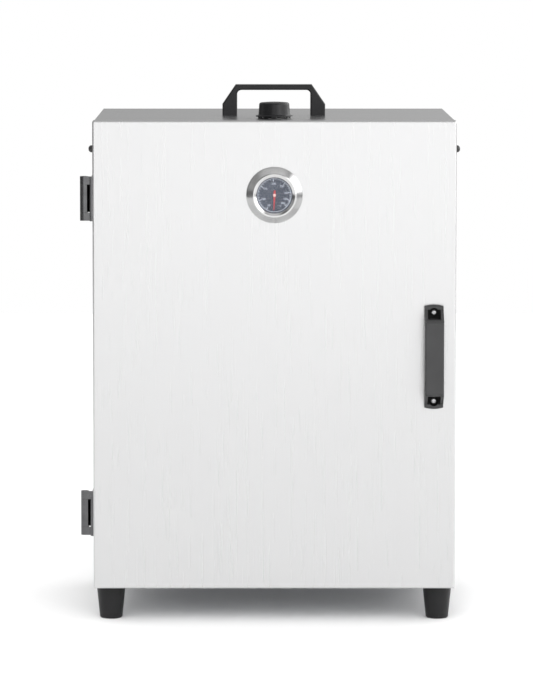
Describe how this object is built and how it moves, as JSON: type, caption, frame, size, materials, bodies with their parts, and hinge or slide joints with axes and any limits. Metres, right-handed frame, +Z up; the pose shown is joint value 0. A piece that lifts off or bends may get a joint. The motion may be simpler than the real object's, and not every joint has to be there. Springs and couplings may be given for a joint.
{
  "type": "cabinet smoker",
  "caption": "Upright stainless smoking cabinet with a hinged front door, dial thermometer, roof vent, carry handle, grids, water pan and chip tray over a heater.",
  "frame": {"origin": "on the floor under the feet, midway across the width and midway between the door's face and the rear wall", "axes": "+X right as one faces the door, +Y from the door to the rear, +Z up"},
  "size_m": [0.5147, 0.446, 0.7253],
  "materials": {
    "stainless": "fine vertical brushing, satin",
    "stainless_inside": "mill finish, satin",
    "galvanised": "zinc-plated, satin",
    "black_plastic": "moulded, slightly grained",
    "grey_plastic": "moulded, satin",
    "hinge_grey": "die-cast, dark satin coat",
    "steel_fasteners": "zinc-plated",
    "black_fasteners": "black, semi-gloss",
    "chrome_wire": "bright chrome plate",
    "bezel_steel": "spun, polished",
    "dial_face": "dark blue-grey with white scale",
    "glass": "clear",
    "red_paint": "matt red",
    "seal": "black silicone",
    "heater_sheath": "oxidised",
    "brass": "plain",
    "red_lens": "translucent red"
  },
  "bodies": {
    "cabinet": {"left_side_panel": "stainless", "right_side_panel": "stainless", "top_panel": "stainless", "rear_panel": "galvanised", "base_panel": "galvanised", "foot_front_left": "grey_plastic", "foot_front_right": "grey_plastic", "foot_rear_left": "grey_plastic", "foot_rear_right": "grey_plastic", "machine_screws": "steel_fasteners", "carry_handle": "black_plastic", "vent_collar": "black_plastic", "ladder_posts": "chrome_wire", "ladder_rungs": "chrome_wire", "ladder_studs": "black_fasteners", "heater_element": "heater_sheath", "heater_flange": "stainless_inside", "heater_support": "stainless_inside", "control_box": "black_plastic", "thermostat_body": "black_plastic", "thermostat_bulb": "brass", "bulb_clips": "galvanised", "terminal_block": "black_plastic", "indicator_lamp": "red_lens", "switch_frame": "black_plastic", "inlet_socket": "black_plastic", "case_screws": "steel_fasteners", "hinge_upper_cabinet_leaf": "hinge_grey", "hinge_lower_cabinet_leaf": "hinge_grey", "hinge_pins": "steel_fasteners", "hinge_cabinet_screws": "hinge_grey", "magnet_catches": "black_plastic", "catch_brackets": "galvanised"},
    "door": {"door_skin": "stainless", "door_liner": "stainless_inside", "door_gasket": "seal", "hinge_upper_door_leaf": "hinge_grey", "hinge_lower_door_leaf": "hinge_grey", "hinge_door_screws": "hinge_grey", "strike_plates": "galvanised", "thermo_bezel": "bezel_steel", "thermo_case": "bezel_steel", "thermo_dial": "dial_face", "thermo_glass": "glass", "thermo_stem": "steel_fasteners", "thermo_nut": "steel_fasteners", "door_handle": "grey_plastic", "door_handle_screws": "steel_fasteners"},
    "pointer": {"thermo_pointer": "red_paint"},
    "vent": {"vent_knob": "black_plastic", "damper_disc": "galvanised", "vent_spindle": "steel_fasteners"},
    "temperature_knob": {"thermostat_knob": "black_plastic"},
    "power_rocker": {"switch_rocker": "black_plastic"},
    "water_pan": {"water_pan": "stainless_inside"},
    "chip_tray": {"chip_tray": "stainless_inside"},
    "grid_1": {"grid_1": "chrome_wire"},
    "grid_2": {"grid_2": "chrome_wire"},
    "grid_3": {"grid_3": "chrome_wire"},
    "grid_4": {"grid_4": "chrome_wire"}
  },
  "joints": [
    {"name": "door_swing", "type": "hinge", "parent": "cabinet", "child": "door", "pos_m": [-0.2573, -0.1515, 0.3628], "axis": [0, 0, -1], "range_deg": [0, 180]},
    {"name": "pointer_turn", "type": "hinge", "parent": "door", "child": "pointer", "pos_m": [0, -0.179, 0.583], "axis": [0, 1, 0], "range_deg": [0, 310]},
    {"name": "vent_turn", "type": "hinge", "parent": "cabinet", "child": "vent", "pos_m": [0, -0.115, 0.683], "axis": [0, 0, -1], "range_deg": [0, 45]},
    {"name": "temperature_turn", "type": "hinge", "parent": "cabinet", "child": "temperature_knob", "pos_m": [-0.055, 0.225, 0.106], "axis": [0, -1, 0], "range_deg": [0, 270]},
    {"name": "power_rock", "type": "hinge", "parent": "cabinet", "child": "power_rocker", "pos_m": [-0.008, 0.223, 0.096], "axis": [-1, 0, 0], "range_deg": [0, 18]},
    {"name": "water_pan_slide", "type": "slide", "parent": "cabinet", "child": "water_pan", "axis": [0, -1, 0], "range_m": [0, 0.015]},
    {"name": "chip_tray_slide", "type": "slide", "parent": "cabinet", "child": "chip_tray", "axis": [0, -1, 0], "range_m": [0, 0.06]},
    {"name": "grid_1_slide", "type": "slide", "parent": "cabinet", "child": "grid_1", "axis": [0, -1, 0], "range_m": [0, 0.01]},
    {"name": "grid_2_slide", "type": "slide", "parent": "cabinet", "child": "grid_2", "axis": [0, -1, 0], "range_m": [0, 0.01]},
    {"name": "grid_3_slide", "type": "slide", "parent": "cabinet", "child": "grid_3", "axis": [0, -1, 0], "range_m": [0, 0.01]},
    {"name": "grid_4_slide", "type": "slide", "parent": "cabinet", "child": "grid_4", "axis": [0, -1, 0], "range_m": [0, 0.01]}
  ]
}
